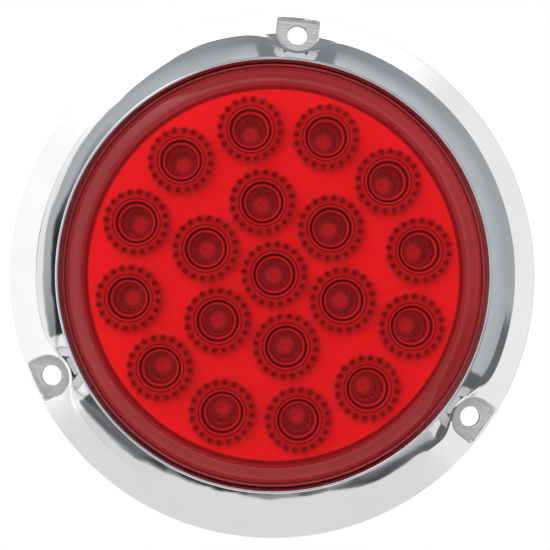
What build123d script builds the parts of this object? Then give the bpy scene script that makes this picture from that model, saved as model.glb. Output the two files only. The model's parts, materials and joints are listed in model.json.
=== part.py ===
from build123d import *
import os
from math import cos, radians, sin

# Round LED trailer tail light in a chrome surface-mount flange.
# Millimetres. +Z is up, the lens faces -Y, and the body reaches back along +Y into the vehicle.
# The origin is the centre of the screw circle on the mounting plane, where the gasket meets the panel.
# "h" is height in front of the mounting plane (h = -y), and "y" is depth behind it.

os.makedirs("parts", exist_ok=True)

# ---- driving dimensions ----
flange_r = 69.85          # 5.5 in outside diameter
screw_circle_r = 65.0
screw_count = 3
screw_hole_r = 2.8        # clears a No. 10 screw
first_screw_angle = 90.0
gasket_h = 1.2            # gasket thickness, so the flange's back is here
seat_h = 3.2              # flat floor of each screw pocket
shoulder_h = 4.3          # front of the flange's rolled outer edge
edge_round = 0.85
cove_r = 64.6             # foot of the concave cove
cove_h = 5.4
rim_h = 14.2              # crest of the raised rim around the lamp
rim_t = 0.85
lamp_clearance = 0.75     # radial gap between the lamp and the rim
lens_r = 55.2
lens_lip_h = 12.5
lens_face_h = 16.5
lens_back_h = 6.2         # the lens stands on the housing's lip here
optic_ring_r = 38.3       # circle of the outer optics
optic_inner_ring_r = 19.0
outer_count = 12
inner_count = 6
outer_start = 15.0        # screw holes lie midway between two outer optics
inner_start = 45.0
board_front_y = 4.0
board_t = 1.6
housing_r = 52.6
housing_wall = 3.4
ledge_clearance = 1.0     # between the housing and the flange's inner ledge
ledge_h = 3.0
housing_back_y = 24.0
floor_t = 2.4
collar_back_y = 27.0      # end of the plug collar, the rearmost face
socket_r = 14.0
socket_floor_y = 13.0
terminal_circle_r = 7.5
terminal_count = 3

# ---- worked out from them ----
opening_r = lens_r + lamp_clearance
rim_outer_r = opening_r + rim_t
edge_h = shoulder_h - edge_round
ledge_r = housing_r + ledge_clearance
board_back_y = board_front_y + board_t
floor_y = housing_back_y - floor_t
housing_inner_r = housing_r - housing_wall
front_axis = Axis((0, 0, 0), (0, -1, 0))


def front_plane(y):
    """Plane at depth y seen from the front: local x is +X, local y is +Z, and it extrudes forwards."""
    return Plane(origin=(0, y, 0), x_dir=(1, 0, 0), z_dir=(0, -1, 0))


def radial_plane(angle):
    """Plane through the lamp's axis: local x points outwards at this angle, local y is +Y."""
    turn = radians(angle)
    return Plane(origin=(0, 0, 0), x_dir=(cos(turn), 0, sin(turn)), z_dir=(-sin(turn), 0, cos(turn)))


# ---- chrome flange: rolled edge, sloping zone, cove and rim, three flat screw pockets ----
pad_h = 5.2               # flattened ground around each screw pocket
pad_r = 6.2
pocket_r = 5.4
pocket_reach = 3.65       # straight outer side of the pocket, from the hole's centre
crest_drop = 0.45
rim_wall = 2.1            # metal left between the opening and each hollow
hollow_inner_r = opening_r + rim_wall
hollow_outer_r = 62.6
hollow_top_h = 7.2
hollow_low_h = 3.4
hollow_margin = 10.0      # degrees of solid metal left each side of a screw
hollow_arc = 360.0 / screw_count - 2 * hollow_margin

with BuildPart() as chrome_flange:
    with BuildSketch(Plane.XY):
        with BuildLine():
            edge = Line((flange_r, -gasket_h), (flange_r, -edge_h))
            roll = TangentArc(edge @ 1, (flange_r - edge_round, -shoulder_h), tangent=edge % 1)
            slope = Line(roll @ 1, (cove_r, -cove_h))
            cove = TangentArc(slope @ 1, (rim_outer_r, -(rim_h - crest_drop)), tangent=slope % 1)
            crest_top = ((opening_r + rim_outer_r) / 2, -rim_h)
            crest = ThreePointArc(cove @ 1, crest_top, (opening_r, -(rim_h - crest_drop)))
            Polyline(
                crest @ 1,
                (opening_r, -ledge_h),
                (ledge_r, -ledge_h),
                (ledge_r, -gasket_h),
                edge @ 0,
            )
        make_face()
    revolve(axis=Axis.Y)
    with BuildSketch(front_plane(-pad_h)):
        with PolarLocations(screw_circle_r, screw_count, start_angle=first_screw_angle):
            Circle(pad_r)
    extrude(amount=rim_h, mode=Mode.SUBTRACT)
    with BuildSketch(front_plane(-seat_h)):
        with PolarLocations(screw_circle_r, screw_count, start_angle=first_screw_angle):
            Circle(pocket_r)
            Rectangle(pocket_reach, 2 * pocket_r, align=(Align.MIN, Align.CENTER))
    extrude(amount=rim_h, mode=Mode.SUBTRACT)
    with BuildSketch(front_plane(0)):
        with PolarLocations(screw_circle_r, screw_count, start_angle=first_screw_angle):
            Circle(screw_hole_r)
    extrude(amount=rim_h, mode=Mode.SUBTRACT)
    for number in range(screw_count):
        start = first_screw_angle + hollow_margin + number * 360.0 / screw_count
        with BuildSketch(radial_plane(start)):
            with BuildLine():
                Polyline(
                    (hollow_inner_r, -gasket_h),
                    (hollow_inner_r, -hollow_top_h),
                    (hollow_outer_r, -hollow_low_h),
                    (hollow_outer_r, -gasket_h),
                    close=True,
                )
            make_face()
        revolve(axis=front_axis, revolution_arc=hollow_arc, mode=Mode.SUBTRACT)
chrome_flange.part.label = "chrome_flange"
export_step(chrome_flange.part, "parts/chrome_flange.step")

# ---- foam gasket between the flange and the panel ----
gasket_setback = 0.65
with BuildPart() as flange_gasket:
    with BuildSketch(front_plane(0)):
        Circle(flange_r - gasket_setback)
        Circle(opening_r, mode=Mode.SUBTRACT)
        with PolarLocations(screw_circle_r, screw_count, start_angle=first_screw_angle):
            Circle(screw_hole_r, mode=Mode.SUBTRACT)
    extrude(amount=gasket_h)
flange_gasket.part.label = "flange_gasket"
export_step(flange_gasket.part, "parts/flange_gasket.step")

# ---- rubber seat ring on the flange's inner ledge, under the lamp's lip ----
lip_back_h = 4.2          # back of the lamp's lip
seat_ring_setback = 0.8
seat_ring_gap = 0.1
with BuildPart() as seat_ring:
    with BuildSketch(front_plane(-ledge_h)):
        Circle(opening_r - seat_ring_setback)
        Circle(ledge_r + seat_ring_gap, mode=Mode.SUBTRACT)
    extrude(amount=lip_back_h - ledge_h - seat_ring_gap)
seat_ring.part.label = "seat_ring"
export_step(seat_ring.part, "parts/seat_ring.step")

# ---- red lens: low outer lip, bevelled shoulder, and a faintly domed face ----
wall_inner_r = 50.4
face_inner_h = 13.5
inner_corner = 0.9        # bevel between the inner wall and the inside of the face
lip_corner = 0.4
lip_inner_r = 54.4
bevel_start_r = 54.2
bevel_middle_r = 52.9
bevel_middle_h = 14.35
bevel_end_r = 51.4
bevel_end_h = 15.45
face_round_r = 51.05
face_round_h = 15.63
face_edge_r = 50.6
face_edge_h = 15.7
with BuildPart() as lens:
    with BuildSketch(Plane.XY):
        with BuildLine():
            side = Line((lens_r, -lens_back_h), (lens_r, -(lens_lip_h - lip_corner)))
            lip_round = TangentArc(side @ 1, (lens_r - lip_corner, -lens_lip_h), tangent=side % 1)
            bevel_start = (bevel_start_r, -(lens_lip_h + lip_corner))
            lip = Polyline(lip_round @ 1, (lip_inner_r, -lens_lip_h), bevel_start)
            bevel_middle = (bevel_middle_r, -bevel_middle_h)
            bevel = ThreePointArc(lip @ 1, bevel_middle, (bevel_end_r, -bevel_end_h))
            round_middle = (face_round_r, -face_round_h)
            face_round = ThreePointArc(bevel @ 1, round_middle, (face_edge_r, -face_edge_h))
            face = TangentArc((0, -lens_face_h), face_round @ 1, tangent=(1, 0))
            Polyline(
                face @ 0,
                (0, -face_inner_h),
                (wall_inner_r - inner_corner, -face_inner_h),
                (wall_inner_r, -(face_inner_h - inner_corner)),
                (wall_inner_r, -lens_back_h),
                side @ 0,
            )
        make_face()
    revolve(axis=Axis.Y)
lens.part.label = "lens"
export_step(lens.part, "parts/lens.step")

# ---- seal between the lens and the housing, in the lip's groove ----
seal_inner_r = 51.4
seal_outer_r = 54.2
seal_t = 1.0
with BuildPart() as lens_seal_ring:
    with BuildSketch(front_plane(-lens_back_h + seal_t)):
        Circle(seal_outer_r)
        Circle(seal_inner_r, mode=Mode.SUBTRACT)
    extrude(amount=seal_t)
lens_seal_ring.part.label = "lens_seal_ring"
export_step(lens_seal_ring.part, "parts/lens_seal_ring.step")

# ---- bright reflector plate: a shallow dish that stands on the lip, with a hole for each optic ----
plate_r = 50.1
plate_front_h = 11.0
plate_back_h = 9.5
dish_h = 11.8
dish_wall = 0.4
skirt_r = housing_inner_r + 0.1
skirt_round = 1.2
optic_hole_r = 6.0
with BuildPart() as reflector_plate:
    with BuildSketch(Plane.XY):
        with BuildLine():
            Polyline(
                (0, -plate_back_h),
                (skirt_r - skirt_round, -plate_back_h),
                (skirt_r, -(plate_back_h - skirt_round)),
                (skirt_r, -lens_back_h),
                (plate_r, -lens_back_h),
                (plate_r, -dish_h),
                (plate_r - dish_wall, -dish_h),
                (plate_r - skirt_round, -plate_front_h),
                (0, -plate_front_h),
                close=True,
            )
        make_face()
    revolve(axis=Axis.Y)
    with BuildSketch(front_plane(-lens_back_h)):
        Circle(optic_hole_r)
        with PolarLocations(optic_ring_r, outer_count, start_angle=outer_start):
            Circle(optic_hole_r)
        with PolarLocations(optic_inner_ring_r, inner_count, start_angle=inner_start):
            Circle(optic_hole_r)
    extrude(amount=dish_h, mode=Mode.SUBTRACT)
reflector_plate.part.label = "reflector_plate"
export_step(reflector_plate.part, "parts/reflector_plate.step")

# ---- one optic, drawn about its own axis with height along +Z: a scalloped disc with a stepped funnel ----
bead_count = 20
bead_r = 0.9
bead_circle_r = 8.1
disc_r = 8.55
optic_top_h = 12.9
disc_low_h = 11.3
bead_ring_t = 1.0
step_outer_r = 6.3        # ring step round the funnel's mouth
step_inner_r = 5.5
step_h = 12.4
mouth_r = 5.2
mouth_h = 11.6
waist_r = 4.1
waist_h = 8.4
neck_r = 5.7
foot_r = 7.0
bore_r = 2.95             # round the LED's dome
bore_low_h = 1.8
bore_top_h = 4.2
with BuildPart() as optic:
    with BuildSketch(Plane.XZ):
        with BuildLine():
            outside = Polyline(
                (bore_r, bore_low_h),
                (neck_r, bore_low_h),
                (neck_r, plate_front_h),
                (foot_r, plate_front_h),
                (disc_r, disc_low_h),
                (disc_r, optic_top_h),
                (step_outer_r, optic_top_h),
                (step_outer_r - 0.3, step_h),
                (step_inner_r, step_h),
                (mouth_r, mouth_h),
            )
            funnel = Spline(
                outside @ 1,
                (waist_r, waist_h),
                (bore_r, bore_top_h),
                tangents=((-0.5, -1), (-0.1, -1)),
            )
            Line(funnel @ 1, outside @ 0)
        make_face()
    revolve(axis=Axis.Z)
    with BuildSketch(Plane.XY.offset(disc_low_h)):
        Circle(disc_r)
        with PolarLocations(bead_circle_r, bead_count):
            Circle(bead_r)
        Circle(disc_r - bead_ring_t, mode=Mode.SUBTRACT)
    extrude(amount=optic_top_h - disc_low_h)

with BuildPart() as optics_outer:
    with Locations(front_plane(0)):
        with PolarLocations(optic_ring_r, outer_count, start_angle=outer_start):
            add(optic.part)
optics_outer.part.label = "optics_outer"
export_step(optics_outer.part, "parts/optics_outer.step")

with BuildPart() as optics_inner:
    with Locations(front_plane(0)):
        with PolarLocations(optic_inner_ring_r, inner_count, start_angle=inner_start):
            add(optic.part)
optics_inner.part.label = "optics_inner"
export_step(optics_inner.part, "parts/optics_inner.step")

with BuildPart() as optic_centre:
    with Locations(front_plane(0)):
        add(optic.part)
optic_centre.part.label = "optic_centre"
export_step(optic_centre.part, "parts/optic_centre.step")

# ---- one LED: square package with a domed top, height along +Z from the board's face ----
led_side = 7.6
led_corner = 0.6
led_package_t = 2.4
led_dome_r = 2.5
led_dome_base = 4.0
with BuildPart() as led:
    with BuildSketch(Plane.XY):
        RectangleRounded(led_side, led_side, led_corner)
    extrude(amount=led_package_t)
    with BuildSketch(Plane.XZ):
        with BuildLine():
            wall = Polyline((0, led_package_t), (led_dome_r, led_package_t), (led_dome_r, led_dome_base))
            cap = TangentArc(wall @ 1, (0, led_dome_base + led_dome_r), tangent=(0, 1))
            Line(cap @ 1, wall @ 0)
        make_face()
    revolve(axis=Axis.Z)

with BuildPart() as leds_outer:
    with Locations(front_plane(board_front_y)):
        with PolarLocations(optic_ring_r, outer_count, start_angle=outer_start):
            add(led.part)
leds_outer.part.label = "leds_outer"
export_step(leds_outer.part, "parts/leds_outer.step")

with BuildPart() as leds_inner:
    with Locations(front_plane(board_front_y)):
        with PolarLocations(optic_inner_ring_r, inner_count, start_angle=inner_start):
            add(led.part)
leds_inner.part.label = "leds_inner"
export_step(leds_inner.part, "parts/leds_inner.step")

with BuildPart() as led_centre:
    with Locations(front_plane(board_front_y)):
        add(led.part)
led_centre.part.label = "led_centre"
export_step(led_centre.part, "parts/led_centre.step")

# ---- circuit board, with screw holes and holes for the terminal tails ----
board_r = 48.7
post_circle_r = 45.9
post_count = 3
board_hole_r = 1.5
tail_r = 0.8
first_terminal_angle = 90.0
with BuildPart() as led_board:
    with BuildSketch(front_plane(board_back_y)):
        Circle(board_r)
        with PolarLocations(post_circle_r, post_count):
            Circle(board_hole_r, mode=Mode.SUBTRACT)
        with PolarLocations(terminal_circle_r, terminal_count, start_angle=first_terminal_angle):
            Circle(tail_r, mode=Mode.SUBTRACT)
    extrude(amount=board_t)
led_board.part.label = "led_board"
export_step(led_board.part, "parts/led_board.step")

# ---- rear housing: cup with a lip, board posts, plug socket, ribs and grooves ----
lip_r = 54.8
post_r = 2.7
screw_r = 1.25
screw_reach = 9.0
collar_r = 16.4
socket_floor_t = 2.2
shank_r = 1.4
back_chamfer = 1.5
o_ring_y = -2.1
o_ring_groove_r = 51.45
o_ring_r = 0.88
groove_half = 0.9
vent_z = -32.0
vent_r = 4.1
vent_depth = 1.6
vent_hole_r = 1.2
rib_count = 6
rib_inner_r = 18.0
rib_outer_r = 49.0
rib_width = 1.6
rib_proud = 0.9
rib_sunk = 0.3
key_reach = 1.2
key_width = 2.0
key_setback = 1.0
with BuildPart() as rear_housing:
    with BuildSketch(Plane.XY):
        with BuildLine():
            Polyline(
                (housing_inner_r, -lens_back_h),
                (lip_r, -lens_back_h),
                (lip_r, -lip_back_h),
                (housing_r, -lip_back_h),
                (housing_r, housing_back_y - back_chamfer),
                (housing_r - back_chamfer, housing_back_y),
                (collar_r, housing_back_y),
                (collar_r, collar_back_y),
                (socket_r, collar_back_y),
                (socket_r, socket_floor_y),
                (0, socket_floor_y),
                (0, socket_floor_y - socket_floor_t),
                (collar_r, socket_floor_y - socket_floor_t),
                (collar_r, floor_y),
                (housing_inner_r, floor_y),
                close=True,
            )
        make_face()
    revolve(axis=Axis.Y)
    with BuildSketch(front_plane(floor_y)):
        with PolarLocations(post_circle_r, post_count):
            Circle(post_r)
    extrude(amount=floor_y - board_back_y)
    with BuildSketch(front_plane(housing_back_y + rib_proud)):
        with PolarLocations((rib_outer_r + rib_inner_r) / 2, rib_count):
            Rectangle(rib_outer_r - rib_inner_r, rib_width)
    extrude(amount=rib_proud + rib_sunk)
    with BuildSketch(front_plane(collar_back_y - key_setback)):
        with Locations((0, -socket_r)):
            Rectangle(key_width, 2 * key_reach)
    extrude(amount=collar_back_y - key_setback - socket_floor_y)
    with BuildSketch(front_plane(board_back_y + screw_reach)):
        with PolarLocations(post_circle_r, post_count):
            Circle(screw_r)
    extrude(amount=screw_reach, mode=Mode.SUBTRACT)
    with BuildSketch(front_plane(socket_floor_y)):
        with PolarLocations(terminal_circle_r, terminal_count, start_angle=first_terminal_angle):
            Circle(shank_r)
    extrude(amount=socket_floor_t, mode=Mode.SUBTRACT)
    with BuildSketch(front_plane(o_ring_y + groove_half)):
        Circle(lip_r)
        Circle(o_ring_groove_r, mode=Mode.SUBTRACT)
    extrude(amount=2 * groove_half, mode=Mode.SUBTRACT)
    with BuildSketch(front_plane(-lens_back_h + seal_t)):
        Circle(seal_outer_r)
        Circle(seal_inner_r, mode=Mode.SUBTRACT)
    extrude(amount=seal_t, mode=Mode.SUBTRACT)
    with BuildSketch(front_plane(housing_back_y)):
        with Locations((0, vent_z)):
            Circle(vent_r)
    extrude(amount=vent_depth, mode=Mode.SUBTRACT)
    with BuildSketch(front_plane(housing_back_y)):
        with Locations((0, vent_z)):
            Circle(vent_hole_r)
    extrude(amount=floor_t, mode=Mode.SUBTRACT)
rear_housing.part.label = "rear_housing"
export_step(rear_housing.part, "parts/rear_housing.step")

# ---- rubber ring around the housing that grips the flange's ledge ----
with BuildPart() as housing_o_ring:
    with BuildSketch(Plane.XY):
        with Locations((o_ring_groove_r + o_ring_r, o_ring_y)):
            Circle(o_ring_r)
    revolve(axis=Axis.Y)
housing_o_ring.part.label = "housing_o_ring"
export_step(housing_o_ring.part, "parts/housing_o_ring.step")

# ---- breather plug in the back ----
vent_proud = 0.4
vent_gap = 0.05
vent_edge = 0.3
with BuildPart() as vent_plug:
    with BuildSketch(front_plane(housing_back_y + vent_proud)):
        with Locations((0, vent_z)):
            Circle(vent_r - vent_gap)
    extrude(amount=vent_depth + vent_proud)
    fillet(vent_plug.edges().filter_by(GeomType.CIRCLE).sort_by(Axis.Y)[-1], vent_edge)
vent_plug.part.label = "vent_plug"
export_step(vent_plug.part, "parts/vent_plug.step")

# ---- screws that hold the board to the housing's posts ----
head_r = 2.4
head_t = 1.7
recess_depth = 0.9
recess_length = 2.6
recess_width = 0.7
with BuildPart() as board_screws:
    with BuildSketch(front_plane(board_back_y + screw_reach)):
        with PolarLocations(post_circle_r, post_count):
            Circle(screw_r)
    extrude(amount=screw_reach + board_t)
    with BuildSketch(front_plane(board_front_y)):
        with PolarLocations(post_circle_r, post_count):
            Circle(head_r)
    extrude(amount=head_t)
    with BuildSketch(front_plane(board_front_y - head_t + recess_depth)):
        with PolarLocations(post_circle_r, post_count):
            Rectangle(recess_length, recess_width)
            Rectangle(recess_width, recess_length)
    extrude(amount=2 * recess_depth, mode=Mode.SUBTRACT)
board_screws.part.label = "board_screws"
export_step(board_screws.part, "parts/board_screws.step")


# ---- parts soldered to the back of the board ----
def back_plane(y):
    """Plane at depth y that extrudes backwards, away from the lens."""
    return Plane(origin=(0, y, 0), x_dir=(-1, 0, 0), z_dir=(0, 1, 0))


resistor_ring_r = 30.0
resistor_count = 8
resistor_size = (3.2, 6.3, 0.7)
with BuildPart() as led_resistors:
    with BuildSketch(back_plane(board_back_y)):
        with PolarLocations(resistor_ring_r, resistor_count, start_angle=180.0 / resistor_count):
            Rectangle(resistor_size[0], resistor_size[1])
    extrude(amount=resistor_size[2])
led_resistors.part.label = "led_resistors"
export_step(led_resistors.part, "parts/led_resistors.step")

diode_ring_r = 38.0
diode_count = 3
diode_size = (2.7, 4.6, 2.2)
moulding_draft = 5.0      # degrees that a moulded package leans in
with BuildPart() as blocking_diodes:
    with BuildSketch(back_plane(board_back_y)):
        with PolarLocations(diode_ring_r, diode_count):
            Rectangle(diode_size[0], diode_size[1])
    extrude(amount=diode_size[2], taper=moulding_draft)
blocking_diodes.part.label = "blocking_diodes"
export_step(blocking_diodes.part, "parts/blocking_diodes.step")

suppressor_x = -20.0
suppressor_size = (6.0, 7.0, 2.4)
with BuildPart() as surge_suppressor:
    with BuildSketch(back_plane(board_back_y)):
        with Locations((suppressor_x, 0)):
            Rectangle(suppressor_size[0], suppressor_size[1])
    extrude(amount=suppressor_size[2], taper=moulding_draft)
surge_suppressor.part.label = "surge_suppressor"
export_step(surge_suppressor.part, "parts/surge_suppressor.step")

capacitor_x = 22.0
capacitor_r = 4.0
capacitor_h = 5.6
capacitor_base = (8.3, 0.6)
with BuildPart() as smoothing_capacitor:
    with BuildSketch(back_plane(board_back_y)):
        with Locations((capacitor_x, 0)):
            Rectangle(capacitor_base[0], capacitor_base[0])
    extrude(amount=capacitor_base[1])
    with BuildSketch(back_plane(board_back_y)):
        with Locations((capacitor_x, 0)):
            Circle(capacitor_r)
    extrude(amount=capacitor_h)
smoothing_capacitor.part.label = "smoothing_capacitor"
export_step(smoothing_capacitor.part, "parts/smoothing_capacitor.step")

regulator_z = 24.0
regulator_size = (6.6, 6.1, 2.3)
regulator_tab = (5.2, 1.6, 0.5)
tab_z = regulator_z + 3.6
with BuildPart() as current_regulators:
    with BuildSketch(back_plane(board_back_y)):
        with Locations((0, regulator_z), (0, -regulator_z)):
            Rectangle(regulator_size[0], regulator_size[1])
    extrude(amount=regulator_size[2], taper=moulding_draft)
    with BuildSketch(back_plane(board_back_y)):
        with Locations((0, tab_z), (0, -tab_z)):
            Rectangle(regulator_tab[0], regulator_tab[1])
    extrude(amount=regulator_tab[2])
current_regulators.part.label = "current_regulators"
export_step(current_regulators.part, "parts/current_regulators.step")

# ---- terminals: ground on top is the thicker one, tail and stop/turn below ----
shank_front_y = 8.6
terminal_back_y = 24.0
ground_contact_r = 2.3
signal_contact_r = 2.0
ground_angle, tail_angle, stop_turn_angle = (first_terminal_angle + step for step in (0, 120, 240))


def build_terminal(angle, contact_r):
    """One bullet terminal: rounded contact in the socket, shank through the floor, tail to the board."""
    turn = radians(angle)
    centre = (terminal_circle_r * cos(turn), 0, terminal_circle_r * sin(turn))
    with BuildPart() as terminal:
        with BuildSketch(Plane(origin=centre, x_dir=(1, 0, 0), z_dir=(0, 0, 1))):
            with BuildLine():
                stem = Polyline(
                    (0, board_front_y),
                    (tail_r, board_front_y),
                    (tail_r, shank_front_y),
                    (shank_r, shank_front_y),
                    (shank_r, socket_floor_y),
                    (contact_r, socket_floor_y),
                    (contact_r, terminal_back_y - contact_r),
                )
                tip = TangentArc(stem @ 1, (0, terminal_back_y), tangent=(0, 1))
                Line(tip @ 1, stem @ 0)
            make_face()
        revolve(axis=Axis(centre, (0, 1, 0)))
    return terminal


terminal_ground = build_terminal(ground_angle, ground_contact_r)
terminal_ground.part.label = "terminal_ground"
export_step(terminal_ground.part, "parts/terminal_ground.step")

terminal_tail = build_terminal(tail_angle, signal_contact_r)
terminal_tail.part.label = "terminal_tail"
export_step(terminal_tail.part, "parts/terminal_tail.step")

terminal_stop_turn = build_terminal(stop_turn_angle, signal_contact_r)
terminal_stop_turn.part.label = "terminal_stop_turn"
export_step(terminal_stop_turn.part, "parts/terminal_stop_turn.step")

# ---- solder around each terminal's tail on the back of the board ----
solder_r = 1.9
solder_h = 1.0
solder_lean = 35.0
with BuildPart() as solder_joints:
    with BuildSketch(back_plane(board_back_y)):
        with PolarLocations(terminal_circle_r, terminal_count, start_angle=first_terminal_angle):
            Circle(solder_r)
    extrude(amount=solder_h, taper=solder_lean)
    with BuildSketch(back_plane(board_back_y)):
        with PolarLocations(terminal_circle_r, terminal_count, start_angle=first_terminal_angle):
            Circle(tail_r)
    extrude(amount=2 * solder_h, mode=Mode.SUBTRACT)
solder_joints.part.label = "solder_joints"
export_step(solder_joints.part, "parts/solder_joints.step")

# ---- epoxy that seals the terminals where they come through the socket's floor ----
seal_setback = 1.0
seal_pool_t = 2.0
with BuildPart() as terminal_seal:
    with BuildSketch(front_plane(socket_floor_y - socket_floor_t)):
        Circle(socket_r - seal_setback)
        with PolarLocations(terminal_circle_r, terminal_count, start_angle=first_terminal_angle):
            Circle(shank_r, mode=Mode.SUBTRACT)
    extrude(amount=seal_pool_t)
terminal_seal.part.label = "terminal_seal"
export_step(terminal_seal.part, "parts/terminal_seal.step")
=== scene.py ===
import json
import math

import bmesh
import bpy
import numpy as np
from mathutils import Matrix, Vector


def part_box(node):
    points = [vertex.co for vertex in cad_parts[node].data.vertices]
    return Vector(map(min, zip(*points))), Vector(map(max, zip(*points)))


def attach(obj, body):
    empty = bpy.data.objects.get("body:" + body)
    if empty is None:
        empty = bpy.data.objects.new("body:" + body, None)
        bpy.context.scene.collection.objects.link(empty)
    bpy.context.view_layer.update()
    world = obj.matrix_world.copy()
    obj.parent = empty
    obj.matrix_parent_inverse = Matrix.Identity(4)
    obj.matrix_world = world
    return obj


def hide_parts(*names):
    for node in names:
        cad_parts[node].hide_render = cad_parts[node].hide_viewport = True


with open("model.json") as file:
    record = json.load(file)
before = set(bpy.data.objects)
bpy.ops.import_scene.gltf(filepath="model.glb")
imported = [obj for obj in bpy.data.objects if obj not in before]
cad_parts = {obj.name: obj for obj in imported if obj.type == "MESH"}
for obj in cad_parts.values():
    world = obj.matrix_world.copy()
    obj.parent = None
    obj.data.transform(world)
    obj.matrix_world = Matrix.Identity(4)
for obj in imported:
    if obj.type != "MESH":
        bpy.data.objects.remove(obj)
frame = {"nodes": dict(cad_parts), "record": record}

# Round LED trailer tail light: red lens over nineteen optics, in a chrome surface-mount flange.
# Profiles are in millimetres: r is the radius from the lamp's axis, h is the height in front of the
# mounting plane (h = -y). Angles run counterclockwise as seen from the front, from +X.

MM = 0.001
FRONT = Vector((0, -1, 0))
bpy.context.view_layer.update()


# ---- sizes: some taken from the frame, the rest given ----
def mount_dims(name):
    """The stated dimensions of one of the record's mounts."""
    return next(m for m in frame["record"]["mounts"] if m["name"] == name)["dims"]


def heights(node):
    """(back, front) of a CAD node, in millimetres in front of the mounting plane."""
    low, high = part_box(node)
    return -high[1] / MM, -low[1] / MM


def radius(node):
    """Largest radius of a round CAD node in millimetres."""
    low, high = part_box(node)
    return max(high[0] - low[0], high[2] - low[2]) / 2 / MM


FLANGE_R = radius("chrome_flange")
FLANGE_BACK, RIM_H = heights("chrome_flange")
LENS_R = radius("lens")
LENS_BACK, LENS_H = heights("lens")
SCREW_R = mount_dims("screw_pattern")["pcd_mm"] / 2
HOLE_R = mount_dims("screw_pattern")["hole_r_mm"]
SCREW_ANGLES = (90, 210, 330)
OPTIC_R = radius("optic_centre")
OPTIC_LOW, OPTIC_TOP = heights("optic_centre")
LED_LOW, LED_TOP = heights("led_centre")
OUTER_RING_R = 38.3
INNER_RING_R = 19.0
OPENING_R = LENS_R + 0.75    # inside of the flange's rim
RIM_T = 0.85
CREST_R = RIM_T / 2          # rounding along the top of the rim
CREST_START = 34             # where the cove runs into it, in degrees from outwards
RIM_OUTER_R = OPENING_R + CREST_R * (1 + math.cos(math.radians(CREST_START)))
COVE_R, COVE_H = 64.6, 5.4   # foot of the concave cove
COVE_SLOPES = ((0, 14), (0.33, 47), (0.59, 51), (1, 55))   # (share of the way in, degrees)
CONE_RISE = 0.25             # slope of the flange's outer zone
PAD_RISE = 0.36              # slope of the pads round the screw pockets
EDGE_ROUND = 0.12
SEAT_H = 3.2                 # floor of each screw pocket
POCKET_R, POCKET_DEPTH, POCKET_REACH = 5.4, 4.85, 3.7
DIP_DEPTH, DIP_WIDTH = 4.4, 7.4   # how far the cove gives way to each pocket
PLATE_H = 11.0
PLATE_R = radius("reflector_plate")
DISH_H = heights("reflector_plate")[1]
OPTIC_HOLE_R = 6.0
OPTIC_LOBES, DOT_R = 20, 7.8
LENS_LIFT = 0.06             # keeps the lens's foot just clear of the housing's lip


# ---- mesh helpers ----
def add_object(name, verts, faces, body, node=None, slot=None, material=None):
    """Makes a mesh object from points in millimetres, and rides it on its CAD body."""
    mesh = bpy.data.meshes.new(name)
    mesh.from_pydata([Vector(v) * MM for v in verts], [], faces)
    return place(name, mesh, body, node, slot, material)


def place(name, mesh, body, node=None, slot=None, material=None, at=(0, 0, 0)):
    obj = bpy.data.objects.new(name, mesh)
    bpy.context.scene.collection.objects.link(obj)
    obj.location = Vector(at) * MM
    if material and not mesh.materials:
        mesh.materials.append(material)
    bpy.context.view_layer.update()
    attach(obj, body)
    if node:
        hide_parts(node)
    return obj


def smooth(mesh, angle=32):
    """Outward normals, smooth shading, and sharp edges above the angle."""
    work = bmesh.new()
    work.from_mesh(mesh)
    bmesh.ops.recalc_face_normals(work, faces=work.faces)
    work.to_mesh(mesh)
    work.free()
    mesh.polygons.foreach_set("use_smooth", [True] * len(mesh.polygons))
    mesh.set_sharp_from_angle(angle=math.radians(angle))


def grid_faces(rows, columns, close_rows):
    """Quads of a grid that wraps round its columns, and round its rows if close_rows."""
    faces = []
    for i in range(rows if close_rows else rows - 1):
        j = (i + 1) % rows
        for k in range(columns):
            m = (k + 1) % columns
            faces.append((i * columns + k, i * columns + m, j * columns + m, j * columns + k))
    return faces


def lathe(profile, steps=256, closed=True):
    """Points and faces of a profile of (r, h) turned about the lamp's axis. r = 0 closes a fan."""
    verts, faces, rings = [], [], []
    for r, h in profile:
        if r < 1e-6:
            rings.append([len(verts)])
            verts.append((0, -h, 0))
            continue
        rings.append(list(range(len(verts), len(verts) + steps)))
        for k in range(steps):
            turn = 2 * math.pi * k / steps
            verts.append((r * math.cos(turn), -h, r * math.sin(turn)))
    for i in range(len(rings) if closed else len(rings) - 1):
        a, b = rings[i], rings[(i + 1) % len(rings)]
        if len(a) == 1 and len(b) == 1:
            continue
        for k in range(steps):
            m = (k + 1) % steps
            if len(a) == 1:
                faces.append((a[0], b[m], b[k]))
            elif len(b) == 1:
                faces.append((a[k], a[m], b[0]))
            else:
                faces.append((a[k], a[m], b[m], b[k]))
    return verts, faces


def arc(centre, r, start, end, steps=8):
    """Points on an arc in the (r, h) plane, angles in degrees from the outward direction."""
    points = []
    for k in range(steps + 1):
        turn = math.radians(start + (end - start) * k / steps)
        points.append((centre[0] + r * math.cos(turn), centre[1] + r * math.sin(turn)))
    return points


def smoothstep(low, high, x):
    t = np.clip((x - low) / (high - low), 0.0, 1.0)
    return t * t * (3 - 2 * t)


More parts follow.
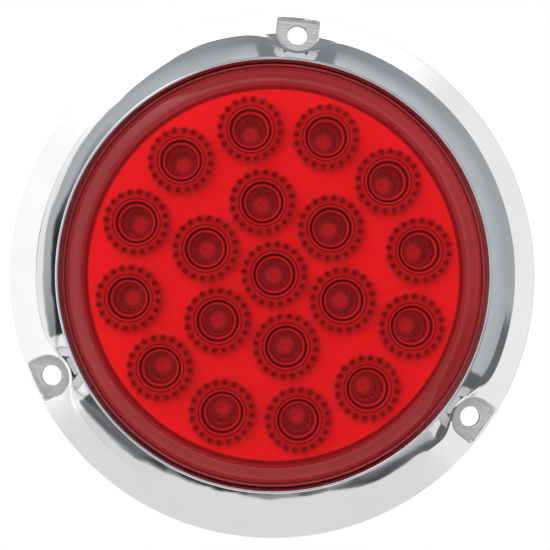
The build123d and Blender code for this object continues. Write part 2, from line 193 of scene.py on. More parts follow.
# ---- node helpers ----
class Signal:
    """A node socket that can be used in arithmetic. Each operation adds one Math node."""

    def __init__(self, tree, socket):
        self.tree = tree
        self.socket = socket

    def made(self, operation, a, b=0.0):
        node = self.tree.nodes.new("ShaderNodeMath")
        node.operation = operation
        for held, value in zip(node.inputs, (a, b)):
            if isinstance(value, Signal):
                self.tree.links.new(value.socket, held)
            else:
                held.default_value = value
        return Signal(self.tree, node.outputs[0])

    def __add__(self, other):
        return self.made("ADD", self, other)

    def __sub__(self, other):
        return self.made("SUBTRACT", self, other)

    def __radd__(self, other):
        return self.made("ADD", other, self)

    def __rsub__(self, other):
        return self.made("SUBTRACT", other, self)

    def __rmul__(self, other):
        return self.made("MULTIPLY", other, self)

    def __mul__(self, other):
        return self.made("MULTIPLY", self, other)

    def __truediv__(self, other):
        return self.made("DIVIDE", self, other)

    def __pow__(self, other):
        return self.made("POWER", self, other)

    def positive(self):
        return self.made("MAXIMUM", self, 0.0)

    def step(self, low, high):
        """0 below low, 1 above high, smooth between."""
        node = self.tree.nodes.new("ShaderNodeMapRange")
        node.interpolation_type = "SMOOTHSTEP"
        for name, value in (("Value", self), ("From Min", low), ("From Max", high)):
            if isinstance(value, Signal):
                self.tree.links.new(value.socket, node.inputs[name])
            else:
                node.inputs[name].default_value = value
        return Signal(self.tree, node.outputs[0])

    def band(self, low, high, soft):
        """1 between low and high, with soft edges."""
        return self.step(low - soft, low + soft) * (1 - self.step(high - soft, high + soft))


class Nodes:
    """Short forms for building a node tree."""

    def __init__(self, tree):
        self.tree = tree

    def add(self, kind, links=None, **settings):
        made = self.tree.nodes.new(kind)
        for key, value in settings.items():
            setattr(made, key, value)
        for key, value in (links or {}).items():
            socket = made.inputs[key]
            if isinstance(value, Signal):
                value = value.socket
            if isinstance(value, bpy.types.NodeSocket):
                self.tree.links.new(value, socket)
            else:
                socket.default_value = value
        return made

    def signal(self, socket):
        return Signal(self.tree, socket)

    def link(self, value, socket):
        self.tree.links.new(value.socket if isinstance(value, Signal) else value, socket)

    def noise(self, scale, detail=3.0, vector=None, rough=0.5):
        links = {"Scale": scale, "Detail": detail, "Roughness": rough}
        if vector is not None:
            links["Vector"] = vector
        return self.add("ShaderNodeTexNoise", links).outputs["Fac"]

    def ramp(self, factor, stops, interpolation="LINEAR"):
        made = self.add("ShaderNodeValToRGB", {"Fac": factor})
        ramp = made.color_ramp
        ramp.interpolation = interpolation
        while len(ramp.elements) < len(stops):
            ramp.elements.new(0.5)
        for element, (position, colour) in zip(ramp.elements, stops):
            element.position = position
            element.color = grey(colour) if isinstance(colour, (int, float)) else (*colour, 1)
        return made.outputs["Color"]

    def mix(self, factor, a, b, blend="MIX"):
        made = self.add("ShaderNodeMix", data_type="RGBA", blend_type=blend)
        for socket, value in zip((made.inputs[0], made.inputs[6], made.inputs[7]), (factor, a, b)):
            if isinstance(value, Signal):
                value = value.socket
            if isinstance(value, bpy.types.NodeSocket):
                self.tree.links.new(value, socket)
            else:
                socket.default_value = value
        return made.outputs[2]

    def bump(self, height, strength, distance):
        links = {"Height": height, "Strength": strength, "Distance": distance}
        return self.add("ShaderNodeBump", links).outputs["Normal"]


def grey(v):
    return (v, v, v, 1)


def new_material(name, **values):
    """A Principled material with plain socket values. Returns (material, node helper, shader)."""
    material = bpy.data.materials.new(name)
    material.use_nodes = True
    nodes = Nodes(material.node_tree)
    shader = material.node_tree.nodes["Principled BSDF"]
    for key, value in values.items():
        shader.inputs[key.replace("_", " ")].default_value = value
    return material, nodes, shader


def textured(name, colour, spread, rough, rough_spread, scale, bump, **values):
    """A moulded or cast surface: mottled colour, uneven gloss and a fine grain."""
    material, n, shader = new_material(name, **values)
    where = n.add("ShaderNodeTexCoord").outputs["Object"]
    coarse = n.noise(scale, 4.0, where)
    fine = n.noise(scale * 9, 3.0, where)
    dark = tuple(c * (1 - spread) for c in colour)
    light = tuple(min(1.0, c * (1 + spread)) for c in colour)
    n.link(n.ramp(coarse, ((0.3, dark), (0.7, light))), shader.inputs["Base Color"])
    n.link(n.signal(fine) * rough_spread + (rough - rough_spread / 2), shader.inputs["Roughness"])
    n.link(n.bump(fine, bump, 0.0002), shader.inputs["Normal"])
    return material


# ---- materials ----
def chrome_material(name, rough, rough_spread, brushed, dark):
    """Plating: clean colour with a slow haze, uneven gloss and fine polishing lines along X."""
    material, n, shader = new_material(name, Metallic=1.0)
    where = n.add("ShaderNodeTexCoord").outputs["Object"]
    haze = n.noise(90.0, 4.0, where)
    tint = n.ramp(haze, ((0.25, (dark, dark, dark)), (0.75, (0.88, 0.88, 0.885))))
    gloss = n.signal(n.noise(260.0, 5.0, where)) * rough_spread + (rough - rough_spread / 2)
    stretched = n.add("ShaderNodeMapping", {"Vector": where, "Scale": (60.0, 900.0, 2600.0)})
    lines = n.noise(1.0, 3.0, stretched.outputs[0])
    n.link(tint, shader.inputs["Base Color"])
    n.link(gloss, shader.inputs["Roughness"])
    n.link(n.bump(lines, brushed, 0.0001), shader.inputs["Normal"])
    return material


def lens_material():
    """Clear red polycarbonate, very slightly wavy."""
    material, n, shader = new_material(
        "red_lens",
        Base_Color=(0.99, 0.026, 0.034, 1),
        Transmission_Weight=1.0,
        Roughness=0.015,
        IOR=1.38,
        Specular_IOR_Level=0.2,
    )
    where = n.add("ShaderNodeTexCoord").outputs["Object"]
    n.link(n.bump(n.noise(120.0, 2.0, where), 0.02, 0.0005), shader.inputs["Normal"])
    return material


def plate_material():
    """Reflector plate: satin floor, with painted shade darkening the groove and the dish wall round it, and
    a weak painted glow all over.
    """
    # A weak painted glow all over, standing in for light scattered inside the lens.
    material, n, shader = new_material(
        "reflector", Roughness=0.35, Emission_Color=grey(1), Emission_Strength=0.06
    )
    where = n.add("ShaderNodeTexCoord").outputs["Object"]
    split = n.add("ShaderNodeSeparateXYZ", {"Vector": where})
    x, z = n.signal(split.outputs[0]), n.signal(split.outputs[2])
    haze = n.noise(60.0, 4.0, where)
    out = (x**2.0 + z**2.0) ** 0.5 + (n.signal(haze) - 0.5) * 0.0002
    satin = n.ramp(haze, ((0.3, (0.92, 0.91, 0.90)), (0.7, (0.97, 0.96, 0.95))))
    # Painted shade: darker colour in the groove and on the dish wall round it.
    n.link(n.mix(out.step(0.0484, 0.0489), satin, (0.42, 0.36, 0.37, 1)), shader.inputs["Base Color"])
    n.link(n.bump(n.noise(540.0, 3.0, where), 0.03, 0.0002), shader.inputs["Normal"])
    return material


def optic_material():
    """Clear moulded optic: dull disc, painted shade along its fine ring steps with painted highlights on
    the ridges, painted dark spots over its pits, and speckled painted shade down the funnel to the LED.
    """
    material, n, shader = new_material("optic", Roughness=0.3)
    where = n.add("ShaderNodeTexCoord").outputs["Object"]
    split = n.add("ShaderNodeSeparateXYZ", {"Vector": where})
    x, z = n.signal(split.outputs[0]), n.signal(split.outputs[2])
    speck = n.noise(1500.0, 3.0, where)
    out = (x**2.0 + z**2.0) ** 0.5 / 0.010 + (n.signal(speck) - 0.5) * 0.012
    pale, dull, dark = (0.80, 0.95, 0.97), (0.58, 0.82, 0.86), (0.06, 0.07, 0.07)
    # The rings are painted light and shade: dark along the grooves of the ring steps and down the funnel
    # wall, pale on the ridges.
    rings = n.ramp(
        out,
        (
            (0.32, dark),
            (0.36, dull),
            (0.385, dark),
            (0.41, dark),
            (0.43, pale),
            (0.475, pale),
            (0.497, dark),
            (0.535, dark),
            (0.56, pale),
            (0.60, dull),
            (0.618, (0.14, 0.17, 0.18)),
            (0.64, dull),
            (0.72, (0.50, 0.72, 0.76)),
            (0.90, dull),
        ),
    )
    radius_out = (x**2.0 + z**2.0) ** 0.5
    lobe = z.made("ARCTAN2", z, x) * (OPTIC_LOBES / 2 / math.pi)
    aside = (lobe - lobe.made("ROUND", lobe)) * radius_out * (2 * math.pi / OPTIC_LOBES)
    # Painted shade: a dark spot over each pit round the disc.
    dot = 1 - (aside**2.0 + (radius_out - DOT_R * MM) ** 2.0).step(0.1 * MM**2, 0.75 * MM**2)
    # Painted shade down the funnel to the LED, dark with pale specks.
    funnel = 1 - out.step(0.36, 0.42)
    speckled_funnel_shade = n.ramp(speck, ((0.44, (0.02, 0.02, 0.02)), (0.50, (0.90, 0.85, 0.95))))
    painted_rings_and_pit_shade = n.mix(dot * 0.6, rings, (0.12, 0.10, 0.12, 1))
    n.link(n.mix(funnel * 0.85, painted_rings_and_pit_shade, speckled_funnel_shade), shader.inputs["Base Color"])
    return material


def rim_material():
    """Inside of the flange's rim: dull teal-grey plating at the sides, brighter above and below."""
    material, n, shader = new_material("chrome_rim", Metallic=1.0)
    where = n.add("ShaderNodeTexCoord").outputs["Object"]
    split = n.add("ShaderNodeSeparateXYZ", {"Vector": where})
    x, z = n.signal(split.outputs[0]), n.signal(split.outputs[2])
    sideways = (x**2.0 / (x**2.0 + z**2.0)).step(0.25, 0.8)
    haze = n.noise(200.0, 4.0, where)
    tint = n.ramp(haze, ((0.3, (0.52, 0.57, 0.58)), (0.7, (0.64, 0.69, 0.70))))
    n.link(tint, shader.inputs["Base Color"])
    n.link(sideways * 0.3 + n.signal(haze) * 0.06 + 0.08, shader.inputs["Roughness"])
    return material


def dome_material():
    """LED dome: painted light in its centre, painted shade darkening towards its edge, a small darker die
    off centre, and a weak painted glow.
    """
    # A weak painted glow, standing in for light scattered inside the lens.
    material, n, shader = new_material(
        "led_dome", Roughness=0.12, Emission_Color=grey(1), Emission_Strength=0.2
    )
    where = n.add("ShaderNodeTexCoord").outputs["Object"]
    split = n.add("ShaderNodeSeparateXYZ", {"Vector": where})
    x, z = n.signal(split.outputs[0]), n.signal(split.outputs[2])
    speck = n.noise(1200.0, 3.0, where)
    out = (x**2.0 + z**2.0) ** 0.5 + (n.signal(speck) - 0.5) * 0.0002
    die = ((x + 0.0006) ** 2.0 + (z - 0.0003) ** 2.0) ** 0.5
    # Painted light and shade: light in the middle of the dome, darker towards its edge.
    painted_dome_light_and_shade = n.mix(out.step(0.0018, 0.0022), (0.95, 0.97, 0.97, 1), (0.30, 0.30, 0.30, 1))
    spotted = n.mix((1 - die.step(0.0002, 0.0006)) * 0.5, painted_dome_light_and_shade, (0.25, 0.22, 0.22, 1))
    n.link(spotted, shader.inputs["Base Color"])
    return material


# ---- pieces ----
def section_between(points, step):
    """Adds points along a polyline so that none is further than step from the next."""
    dense = [points[0]]
    for (r0, h0), (r1, h1) in zip(points, points[1:]):
        count = max(1, math.ceil(math.hypot(r1 - r0, h1 - h0) / step))
        for k in range(1, count + 1):
            dense.append((r0 + (r1 - r0) * k / count, h0 + (h1 - h0) * k / count))
    return dense


def cove_points(start, end, steps):
    """Cove from start to end. It steepens fast at its foot, then slowly up to the rim."""
    share = np.linspace(0, 1, steps + 1)
    slope = np.radians(np.interp(share, *zip(*COVE_SLOPES)))
    rise = np.cumsum(np.tan((slope[1:] + slope[:-1]) / 2))
    rise *= (end[1] - start[1]) / rise[-1]
    run = start[0] - end[0]
    return [(start[0] - run * share[k + 1], start[1] + rise[k]) for k in range(steps)]


def flange_columns():
    """Angles of the flange's grid: fine across each screw pocket, wider between them."""
    fine, reach, wide = 0.25, 14.0, 0.8
    angles = []
    for middle in SCREW_ANGLES:
        angles += list(np.arange(-reach, reach, fine) + middle)
        gap = 360 / len(SCREW_ANGLES) - 2 * reach
        count = round(gap / wide)
        angles += [middle + reach + gap * j / count for j in range(count)]
    return np.radians(angles)


def flange_section():
    """(r, h) of the flange's section, and how many of its points are the front face."""
    shoulder_r, shoulder_h = FLANGE_R - EDGE_ROUND, 4.3
    slope = math.degrees(math.atan2(COVE_H - shoulder_h, shoulder_r - COVE_R))
    crest = arc((OPENING_R + CREST_R, RIM_H - CREST_R), CREST_R, CREST_START, 180, 12)
    ledge_r, ledge_h = radius("housing_o_ring") + 0.4, 3.0
    front = arc((shoulder_r, shoulder_h - EDGE_ROUND), EDGE_ROUND, 0, 90 - slope, 10)
    front += section_between([front[-1], (COVE_R, COVE_H)], 0.2)[1:]
    front += cove_points((COVE_R, COVE_H), crest[0], 72)
    front += crest[1:]
    inner_wall = [(OPENING_R, RIM_H - 4), (OPENING_R, ledge_h), (ledge_r, ledge_h)]
    back = [(ledge_r, FLANGE_BACK), (FLANGE_R, FLANGE_BACK)]
    return front + inner_wall + back, len(front)


def dipped(r, side):
    """Radius at which the plain cove has the height that this point gets.

    Beside a screw the foot of the cove moves inwards, and the cove is squeezed towards the rim."""
    foot = COVE_R - DIP_DEPTH * np.exp(-((side / DIP_WIDTH) ** 2))
    share = np.clip((foot - r) / (foot - RIM_OUTER_R), 0, 1)
    return COVE_R - share * (COVE_R - RIM_OUTER_R)


def build_flange(material, rim_material, floor_material):
    """Chrome flange: polar grid with a dip in its cove at each screw, then cut for pockets and holes."""
    section, front_count = flange_section()
    angles = flange_columns()
    r = np.array([p[0] for p in section])[:, None] * np.ones(len(angles))
    h = np.array([p[1] for p in section])[:, None] * np.ones(len(angles))
    x, z = r * np.cos(angles), r * np.sin(angles)
    known = sorted(section[:front_count])
    known_r, known_h = [p[0] for p in known], [p[1] for p in known]
    on_cove = (np.arange(len(section)) < front_count)[:, None] & (r < COVE_R) & (r > RIM_OUTER_R)
    for middle in SCREW_ANGLES:
        turn = math.radians(middle)
        out = x * math.cos(turn) + z * math.sin(turn)
        side = -x * math.sin(turn) + z * math.cos(turn)
        plain_r = dipped(r, side)
        rise = CONE_RISE + (PAD_RISE - CONE_RISE) * np.exp(-((side / DIP_WIDTH) ** 2))
        moved = np.interp(plain_r, known_r, known_h) + (plain_r - r) * rise
        h = np.where(on_cove & (out > 0) & (np.abs(side) < 3 * DIP_WIDTH), np.minimum(h, moved), h)
    verts = np.stack([x, -h, z], axis=-1).reshape(-1, 3)
    faces = grid_faces(len(section), len(angles), True)
    flange = add_object(
        "chrome_flange_shell", verts.tolist(), faces, "flange", "chrome_flange", "chrome_plate", material
    )
    smooth(flange.data, 40)
    cut_away(flange, [pocket_cutter(math.radians(middle)) for middle in SCREW_ANGLES])
    holes = ring_places(len(SCREW_ANGLES), SCREW_R, SCREW_ANGLES[0])
    cut_away(flange, [round_cutter(place, HOLE_R, FLANGE_BACK - 1, RIM_H) for place in holes])
    flange.data.materials.append(rim_material)
    flange.data.materials.append(floor_material)
    for polygon in flange.data.polygons:
        corners = [flange.data.vertices[k].co / MM for k in polygon.vertices]
        if all(abs(-c.y - SEAT_H) < 0.01 for c in corners):
            polygon.material_index = 2
        elif all(math.hypot(c.x, c.z) < OPENING_R + RIM_T * 0.7 for c in corners):
            polygon.material_index = 1
    smooth(flange.data, 40)
    return flange


def pocket_cutter(turn, steps=48):
    """D-shaped prism about a screw's axis, flared where it meets the flange's face."""
    corner = 0.5
    outline = []
    for k in range(steps + 1):
        a = math.radians(90 + 180 * k / steps)
        outline.append((POCKET_DEPTH * math.cos(a), POCKET_R * math.sin(a)))
    straight = 8
    end = POCKET_REACH - corner
    outline += [(end * k / straight, -POCKET_R) for k in range(1, straight + 1)]
    outline += [(end + corner * math.sin(a), -POCKET_R + corner * (1 - math.cos(a))) for a in (0.5, 1.05)]
    chord = 16
    wide = POCKET_R - corner
    outline += [(POCKET_REACH, -wide + 2 * wide * k / chord) for k in range(chord + 1)]
    outline += [(end + corner * math.sin(a), POCKET_R - corner * (1 - math.cos(a))) for a in (1.05, 0.5)]
    outline += [(end * k / straight, POCKET_R) for k in range(straight, 0, -1)]
    verts = []
    for flare, rise in ((0.0, None), (0.10, -0.55), (0.22, -0.25), (0.42, -0.06), (1.1, 0.25), (1.4, 6.0)):
        for out, side in outline:
            r = SCREW_R + out
            reach = math.hypot(out, side)
            grow = 1 + flare / reach
            face = COVE_H + (COVE_R - r) * (PAD_RISE if r < COVE_R else CONE_RISE)
            h = SEAT_H if rise is None else face + rise
            px, pz = SCREW_R + out * grow, side * grow
            cos, sin = math.cos(turn), math.sin(turn)
            verts.append((px * cos - pz * sin, -h, px * sin + pz * cos))
    count = len(outline)
    levels = len(verts) // count
    faces = grid_faces(levels, count, False)
    faces.append(tuple(range(count)))
    faces.append(tuple((levels - 1) * count + k for k in range(count)))
    return verts, faces


def round_cutter(place, r, low, high, steps=96):
    """Cylinder about the line through place along the lamp's axis."""
    verts, faces = lathe([(0, low), (r, low), (r, high), (0, high)], steps, closed=False)
    return [(vx + place[0], vy, vz + place[2]) for vx, vy, vz in verts], faces


def cut_away(obj, cutters):
    """Takes closed shapes away from obj, exactly."""
    verts, faces = [], []
    for points, polygons in cutters:
        first = len(verts)
        verts += points
        faces += [tuple(first + i for i in f) for f in polygons]
    mesh = bpy.data.meshes.new("cutter")
    mesh.from_pydata([Vector(v) * MM for v in verts], [], faces)
    smooth(mesh)
    cutter = bpy.data.objects.new("cutter", mesh)
    bpy.context.scene.collection.objects.link(cutter)
    modifier = obj.modifiers.new("cut", "BOOLEAN")
    modifier.object = cutter
    modifier.operation = "DIFFERENCE"
    modifier.solver = "EXACT"
    bpy.context.view_layer.update()
    graph = bpy.context.evaluated_depsgraph_get()
    cut_mesh = bpy.data.meshes.new_from_object(obj.evaluated_get(graph))
    obj.modifiers.clear()
    old = obj.data
    obj.data = cut_mesh
    cut_mesh.name = old.name
    bpy.data.meshes.remove(old)
    bpy.data.objects.remove(cutter)
    bpy.data.meshes.remove(mesh)


def build_plate(material):
    """Reflector plate: flat floor with a hole for each optic, a groove, and a thin dish wall."""
    skirt_r, edge_r, edge_h = PLATE_R - 0.8, 48.9, PLATE_H - 0.3
    profile = [(0, PLATE_H), (48.4, PLATE_H), (48.7, PLATE_H - 0.08), (edge_r, edge_h), (edge_r + 0.1, 8.5)]
    low_h = LENS_BACK + LENS_LIFT
    profile += [(PLATE_R - 0.4, 8.5), (PLATE_R - 0.35, DISH_H), (PLATE_R, DISH_H), (PLATE_R, low_h)]
    profile += [(skirt_r, low_h), (skirt_r, 7.6), (48.0, 7.6), (47.6, PLATE_H - 1.5), (0, PLATE_H - 1.5)]
    verts, faces = lathe(profile, 360)
    plate = add_object("reflector_dish", verts, faces, "lamp", "reflector_plate", "reflector", material)
    smooth(plate.data, 30)
    places = [place for _, group in optic_places() for place in group]
    cut_away(plate, [round_cutter(place, OPTIC_HOLE_R, LENS_BACK, LENS_H) for place in places])
    smooth(plate.data, 30)
    return plate


def build_lens(material, wall_material, groove_shade_material):
    """Lens: low outer lip, bevelled shoulder, faintly domed face, and the hollow behind it."""
    face_r, face_h = 50.6, 15.7
    wall_r, hollow_h = 50.4, 13.5
    sphere = (face_r**2 + (LENS_H - face_h) ** 2) / 2 / (LENS_H - face_h)
    low_h = LENS_BACK + LENS_LIFT
    outside = [(LENS_R, low_h), (LENS_R, 12.1)]
    outside += arc((LENS_R - 0.4, 12.1), 0.4, 0, 90, 6)
    groove_r, groove_h = 54.2, 12.2
    outside += [(groove_r + 0.35, 12.5), (groove_r + 0.28, groove_h)]
    outside += [(groove_r, groove_h), (groove_r - 0.1, 12.95)]
    outside += [(53.6, 13.7), (52.9, 14.4), (52.1, 15.0), (51.4, 15.4), (51.05, 15.58)]
    for k in range(24):
        r = face_r * (1 - k / 24)
        outside.append((r, LENS_H - sphere + math.sqrt(sphere**2 - r**2)))
    outside.append((0, LENS_H))
    inside = [(0, hollow_h), (30, hollow_h), (wall_r - 1, hollow_h), (wall_r - 0.3, hollow_h - 0.3)]
    inside += [(wall_r, hollow_h - 1), (wall_r, low_h)]
    verts, faces = lathe(outside + inside, 384)
    lens = add_object("red_lens", verts, faces, "lamp", "lens", "red_lens", material)
    lens.data.materials.append(wall_material)
    lens.data.materials.append(groove_shade_material)
    for polygon in lens.data.polygons:
        corners = [lens.data.vertices[k].co / MM for k in polygon.vertices]
        high = max(-c.y for c in corners)
        out = [math.hypot(c.x, c.z) for c in corners]
        if high < low_h + 0.01 or high < hollow_h - 0.9 and max(out) < wall_r + 0.1:
            polygon.material_index = 1
        # The groove's faces take the painted shade.
        elif max(out) < groove_r + 0.36 and min(out) > groove_r - 0.11:
            polygon.material_index = 2
    smooth(lens.data, 30)
    lens.visible_shadow = False
    return lens


def optic_mesh(material):
    """One optic about its own axis: scalloped disc with a dot in each scallop, ring steps, funnel."""
    columns = OPTIC_LOBES * 12
    turn = 2 * math.pi * np.arange(columns) / columns
    top = OPTIC_TOP
    rows = [(2.95, OPTIC_LOW), (5.7, OPTIC_LOW), (5.7, 11.0), (7.0, 11.05), (8.5, 11.3), (8.9, 11.45)]
    rows += [(9.0, 11.8), (9.0, 12.5), (8.93, 12.75), (8.75, 12.88)]
    rows += [(r, top) for r in np.arange(8.6, 6.4, -0.16)]
    rows += [(6.32, top - 0.03), (6.22, top - 0.3), (6.12, top - 0.3), (6.02, top - 0.08)]
    rows += [(5.8, top - 0.02), (5.6, top - 0.1), (5.45, top - 0.5), (5.35, 11.7), (5.2, 11.5), (5.0, 11.5)]
    rows += [(4.9, 11.7), (4.7, 11.8), (4.45, 11.7), (4.3, 11.3), (4.1, 10.6), (3.95, 9.4), (3.7, 7.6)]
    rows += [(3.35, 5.8), (3.1, 4.7), (2.95, 4.2)]
    r = np.array([p[0] for p in rows])[:, None] * np.ones(columns)
    h = np.array([p[1] for p in rows])[:, None] * np.ones(columns)
    scallop = 1 - 0.062 * np.abs(np.sin(turn * OPTIC_LOBES / 2)) ** 1.6
    r = np.where(r > 8.0, r * (1 + (scallop - 1) * smoothstep(8.0, 8.8, r)), r)
    x, z = r * np.cos(turn), r * np.sin(turn)
    pitch = 2 * math.pi / OPTIC_LOBES
    nearest = np.round(turn / pitch) * pitch
    dot = np.hypot(x - DOT_R * np.cos(nearest), z - DOT_R * np.sin(nearest))
    on_top = h > top - 0.01
    h = np.where(on_top, h - 0.7 * (1 - smoothstep(0.3, 0.85, dot)), h)
    verts = np.stack([x, -h, z], axis=-1).reshape(-1, 3)
    mesh = bpy.data.meshes.new("optic")
    mesh.from_pydata([Vector(v) * MM for v in verts.tolist()], [], grid_faces(len(rows), columns, True))
    mesh.materials.append(material)
    smooth(mesh, 40)
    return mesh


def led_mesh(material, package_material):
    """One LED about its own axis: square package with rounded corners under a clear dome."""
    dome_r = 2.5
    flat = LED_TOP - dome_r
    profile = [(0, LED_LOW + 2.4), (dome_r, LED_LOW + 2.4), (dome_r, flat)]
    profile += arc((0, flat), dome_r, 0, 90, 16)[1:]
    verts, faces = lathe(profile[:-1] + [(0, LED_TOP)], 64, closed=False)
    side, corner, steps = 3.8, 0.6, 5
    outline = []
    for k, (sx, sz) in enumerate(((1, 1), (-1, 1), (-1, -1), (1, -1))):
        for j in range(steps + 1):
            a = math.radians(90 * k + 90 * j / steps)
            outline.append(
                (sx * (side - corner) + corner * math.cos(a), sz * (side - corner) + corner * math.sin(a))
            )
    levels = ((LED_LOW, 0.0), (LED_LOW + 2.1, 0.0), (LED_LOW + 2.4, 0.25))
    first = len(verts)
    for h, inset in levels:
        scale = (side - inset) / side
        verts += [(px * scale, -h, pz * scale) for px, pz in outline]
    count = len(outline)
    for i in range(len(levels) - 1):
        for k in range(count):
            m = (k + 1) % count
            a, b = first + i * count, first + (i + 1) * count
            faces.append((a + k, a + m, b + m, b + k))
    dome_faces = len(faces) - (len(levels) - 1) * count
    faces.append(tuple(first + k for k in range(count)))
    faces.append(tuple(first + (len(levels) - 1) * count + k for k in range(count)))
    mesh = bpy.data.meshes.new("led")
    mesh.from_pydata([Vector(v) * MM for v in verts], [], faces)
    mesh.materials.append(material)
    mesh.materials.append(package_material)
    for polygon in mesh.polygons:
        polygon.material_index = 0 if polygon.index < dome_faces else 1
    smooth(mesh, 35)
    return mesh


def ring_places(count, r, start):
    """Centres on a circle, first at the start angle."""
    places = []
    for k in range(count):
        turn = math.radians(start + 360 * k / count)
        places.append((r * math.cos(turn), 0, r * math.sin(turn)))
    return places


def optic_places():
    """The three groups of optics: (name, centres)."""
    return (
        ("outer", ring_places(12, OUTER_RING_R, 15)),
        ("inner", ring_places(6, INNER_RING_R, 45)),
        ("centre", [(0, 0, 0)]),
    )


def populate(kind, mesh, slot, nodes):
    """Places one mesh at every optic's centre, each group in its CAD node's stead."""
    for (group, places), node in zip(optic_places(), nodes):
        for k, centre in enumerate(places):
            place(f"{kind}_{group}_{k + 1:02d}", mesh, "lamp", node, slot, at=centre)


def give(node, material):
    """A carried-over CAD node gets its finished material."""
    obj = frame["nodes"][node]
    if not obj.material_slots:
        obj.data.materials.append(material)
    for held in obj.material_slots:
        held.material = material


# ---- studio ----
def studio_world():
    """Soft studio all round the lamp.

    A bright sweep in front of it ends at a horizon, which is further round below and to the left.
    Past the horizon the room is dim, then grey. The lens sees the darker place where the camera is."""
    world = bpy.data.worlds.new("studio")
    bpy.context.scene.world = world
    world.use_nodes = True
    n = Nodes(world.node_tree)
    where = n.add("ShaderNodeTexCoord").outputs["Generated"]
    x, y, z = (n.signal(s) for s in n.add("ShaderNodeSeparateXYZ", {"Vector": where}).outputs)
    around = (x**2.0 + z**2.0) ** 0.5 + 0.001
    right = (x / around).positive()
    left = (0 - x / around).positive()
    bottom = (0 - z / around).positive()
    angle = (y * -1.0).made("ARCCOSINE", y * -1.0) * (180 / math.pi)
    angle = angle + (n.signal(n.noise(4.5, 3.0, where)) - 0.5) * 10.0
    low_side = left.made("MAXIMUM", left, bottom)
    side = left.made("MAXIMUM", left, right)
    turned = low_side.step(0.30, 0.72)
    horizon = 42 + right**2.0 * 4 + turned * (67 + bottom.step(0.8, 1.0) * 8.5)
    dim = right.step(0.1, 0.65) * 1.16
    dim = dim.made("MAXIMUM", dim, bottom.step(0.25, 0.7) * 1.30)
    sweep = 0.85 + angle.step(24, 34) * (1.25 - dim.made("MAXIMUM", dim, left.step(0.5, 0.9)))
    side_line = left**3.0 * (angle.band(82, 86, 1.5) * 0.7 + angle.band(86, 124, 2.0) * 0.2)
    steel = 0.25 + side * 0.19 + angle.step(104, 128) * (0.40 - side * 0.30)
    patch = n.signal(n.noise(10.0, 2.0, where)).step(0.44, 0.54)
    low_right = bottom.step(0.0, 0.12) * right.step(0.3, 0.6)
    streak = low_right * 0.65 * angle.band(horizon, 98 + bottom * 28, 3.0)
    streak = streak + left**6.0 * angle.band(119 - left**8.0 * 2, 140, 1.5)
    streak = streak + bottom**8.0 * angle.band(horizon, 134, 1.0) * (0.45 + patch * 0.55)
    streak = streak + left * bottom * 1.2 * angle.band(horizon + 2, 140, 2.0)
    room = steel * (1 - streak.made("MINIMUM", streak, 0.95))
    middle = 0.25 + angle.step(13, 22)
    beyond = angle.step(horizon - 1.0, horizon + 1.0)
    light = (sweep * middle.made("MINIMUM", middle, 1.0) - side_line) * (1 - beyond) + room * beyond
    cool = light * beyond * 0.05
    tone = n.add("ShaderNodeCombineColor", {0: light - cool, 1: light, 2: light + cool}).outputs[0]
    seen = n.add("ShaderNodeLightPath").outputs["Is Camera Ray"]
    back = world.node_tree.nodes["Background"]
    n.link(n.mix(seen, tone, (1, 1, 1, 1)), back.inputs["Color"])


FLOOR_R, FLOOR_Z = 380, -210


def floor():
    """Plain pale floor under the lamp."""
    verts, faces = lathe([(0, 0), (FLOOR_R, 0)], 96, closed=False)
    mesh = bpy.data.meshes.new("floor")
    mesh.from_pydata([Vector((x, z, FLOOR_Z)) * MM for x, _, z in verts], [], faces)
    obj = bpy.data.objects.new("floor", mesh)
    bpy.context.scene.collection.objects.link(obj)
    pale = textured(
        "pale_floor", (0.90, 0.90, 0.90), 0.015, 0.6, 0.1, 8.0, 0.02,
        Emission_Color=grey(1), Emission_Strength=0.25,
    )
    mesh.materials.append(pale)
    obj.visible_glossy = False


def camera():
    """Nearly straight from the front, a touch low and left, rolled so that the lamp leans clockwise."""
    distance, azimuth, elevation, roll = 0.360, -1.2, -1.2, 5.7
    scale = 3.741
    target = Vector((0.37 * MM, -3.5 * MM, 0.1 * MM))
    a, e = math.radians(azimuth), math.radians(elevation)
    back = Vector((math.sin(a) * math.cos(e), -math.cos(a) * math.cos(e), math.sin(e)))
    data = bpy.data.cameras.new("camera")
    data.sensor_width = 36.0
    data.lens = 36.0 * distance / (550 / scale * MM)
    obj = bpy.data.objects.new("camera", data)
    bpy.context.scene.collection.objects.link(obj)
    obj.rotation_mode = "QUATERNION"
    facing = (-back).to_track_quat("-Z", "Y").to_matrix()
    obj.rotation_quaternion = (facing @ Matrix.Rotation(math.radians(roll), 3, "Z")).to_quaternion()
    obj.location = target + back * distance
    bpy.context.scene.camera = obj


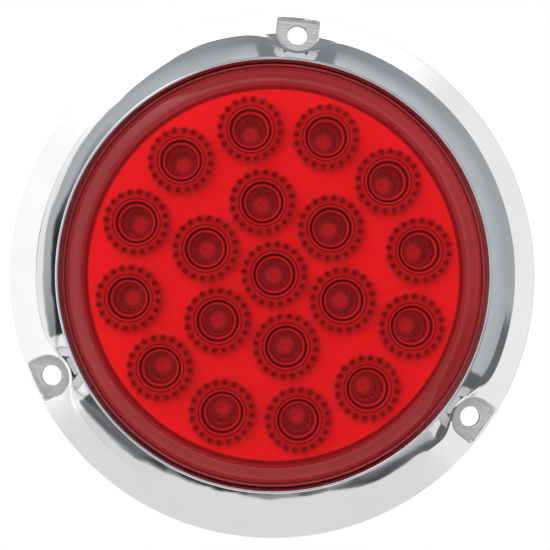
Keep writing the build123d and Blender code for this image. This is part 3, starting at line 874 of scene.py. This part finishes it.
# ---- assembly ----
polished = chrome_material("chrome_plate", 0.06, 0.05, 0.04, 0.83)
brushed_seat = chrome_material("chrome_brushed_seat", 0.36, 0.2, 1.0, 0.6)
build_flange(polished, rim_material(), brushed_seat)
weld = textured("lens_weld", (0.85, 0.80, 0.80), 0.05, 0.5, 0.1, 60.0, 0.1)
# Painted shade: the lens's groove gets an opaque dark material in place of clear red.
groove = textured("lens_groove_shade", (0.10, 0.008, 0.010), 0.1, 0.4, 0.1, 300.0, 0.1)
build_lens(lens_material(), weld, groove)
build_plate(plate_material())
optic = optic_mesh(optic_material())
populate("optic", optic, "optic_red", ("optics_outer", "optics_inner", "optic_centre"))
# The package's weak glow is painted light, standing in for light scattered inside the lens.
led_package = textured(
    "led_package", (0.45, 0.44, 0.44), 0.3, 0.4, 0.1, 400.0, 0.05,
    Emission_Color=grey(1), Emission_Strength=0.12,
)
led = led_mesh(dome_material(), led_package)
populate("led", led, "led_resin", ("leds_outer", "leds_inner", "led_centre"))

rubber = textured("black_rubber", (0.03, 0.03, 0.032), 0.3, 0.6, 0.15, 200.0, 0.3)
for name in ("seat_ring", "housing_o_ring"):
    give(name, rubber)
give("lens_seal_ring", textured("silicone", (0.55, 0.5, 0.5), 0.08, 0.5, 0.1, 150.0, 0.1))
give("flange_gasket", textured("foam_rubber", (0.045, 0.045, 0.05), 0.4, 0.85, 0.1, 700.0, 0.8))
give("led_board", textured("solder_mask", (0.78, 0.79, 0.76), 0.04, 0.35, 0.1, 200.0, 0.05))
give("rear_housing", textured("black_housing", (0.03, 0.03, 0.033), 0.25, 0.45, 0.15, 300.0, 0.3))
steel = textured("zinc_steel", (0.62, 0.62, 0.60), 0.06, 0.3, 0.1, 400.0, 0.05, Metallic=1.0)
give("board_screws", steel)
moulded = textured("component_black", (0.04, 0.04, 0.042), 0.2, 0.5, 0.1, 600.0, 0.1)
for name in ("led_resistors", "blocking_diodes", "surge_suppressor", "current_regulators"):
    give(name, moulded)
can = textured("can_aluminium", (0.75, 0.76, 0.78), 0.04, 0.25, 0.1, 300.0, 0.03, Metallic=1.0)
give("smoothing_capacitor", can)
give("solder_joints", textured("solder", (0.68, 0.69, 0.70), 0.06, 0.28, 0.1, 500.0, 0.1, Metallic=1.0))
brass = textured("brass_pin", (0.80, 0.58, 0.25), 0.06, 0.25, 0.1, 400.0, 0.05, Metallic=1.0)
for name in ("terminal_ground", "terminal_tail", "terminal_stop_turn"):
    give(name, brass)
give("terminal_seal", textured("epoxy", (0.03, 0.03, 0.03), 0.2, 0.3, 0.1, 200.0, 0.05))
give("vent_plug", textured("vent_white", (0.78, 0.78, 0.75), 0.05, 0.7, 0.1, 900.0, 0.3))

studio_world()
floor()
camera()
scene = bpy.context.scene
scene.view_settings.view_transform = "Standard"
scene.cycles.use_denoising = True
